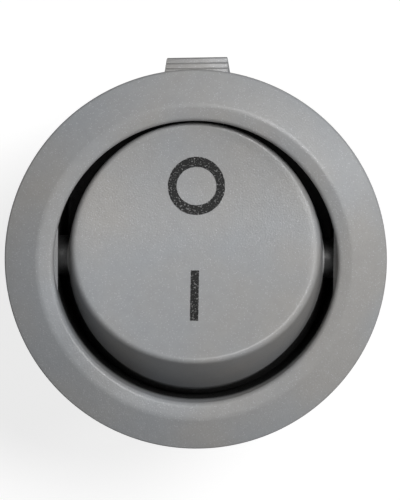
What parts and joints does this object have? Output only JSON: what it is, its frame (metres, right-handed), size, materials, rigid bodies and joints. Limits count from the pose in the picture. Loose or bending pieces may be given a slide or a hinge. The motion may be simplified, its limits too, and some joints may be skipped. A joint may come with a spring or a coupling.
{
  "type": "panel rocker switch",
  "caption": "Round snap-in rocker switch for a panel hole, with a concave tilting cap, an on/off ring and bar print, two side wings and flat rear tabs.",
  "frame": {"origin": "centre of the bezel's rear face, which seats on the panel", "axes": "+Z out of the front of the panel, +Y towards the ring mark, X along the rocker's tilt axis"},
  "size_m": [0.023, 0.0238, 0.0258],
  "materials": {
    "housing_nylon": "light grey nylon, fine moulded grain with a faint sparkle",
    "rocker_nylon": "light grey nylon, fine moulded grain with a faint sparkle",
    "ink": "black pad print, grainy",
    "plunger_nylon": "natural nylon, smooth",
    "spring_steel": "drawn spring wire",
    "blade_brass": "stamped strip",
    "contact_silver": "silver contact rivet, satin",
    "terminal_brass": "stamped and plated strip"
  },
  "bodies": {
    "body": {"housing": "housing_nylon", "common_terminal": "terminal_brass", "switched_terminal": "terminal_brass", "fixed_contact": "contact_silver"},
    "rocker": {"rocker": "rocker_nylon", "off_mark": "ink", "on_mark": "ink", "plunger_spring": "spring_steel"},
    "plunger": {"plunger": "plunger_nylon"},
    "blade": {"contact_blade": "blade_brass", "moving_contact": "contact_silver"}
  },
  "joints": [
    {"name": "rocker_tilt", "type": "hinge", "parent": "body", "child": "rocker", "pos_m": [0, 0, -0.0015], "axis": [1, 0, 0], "range_deg": [0, 38]},
    {"name": "blade_tilt", "type": "hinge", "parent": "body", "child": "blade", "pos_m": [0, 0, -0.00935], "axis": [1, 0, 0], "range_deg": [-18, 0]},
    {"name": "plunger_slide", "type": "slide", "parent": "rocker", "child": "plunger", "axis": [0, 0.3256, 0.9455], "range_m": [0, 0.001], "stiffness_N_per_m": 300, "deforming": ["plunger_spring"]}
  ],
  "couplings": [
    {"joint": "blade_tilt", "follows": "rocker_tilt", "ratio": -0.47368}
  ]
}
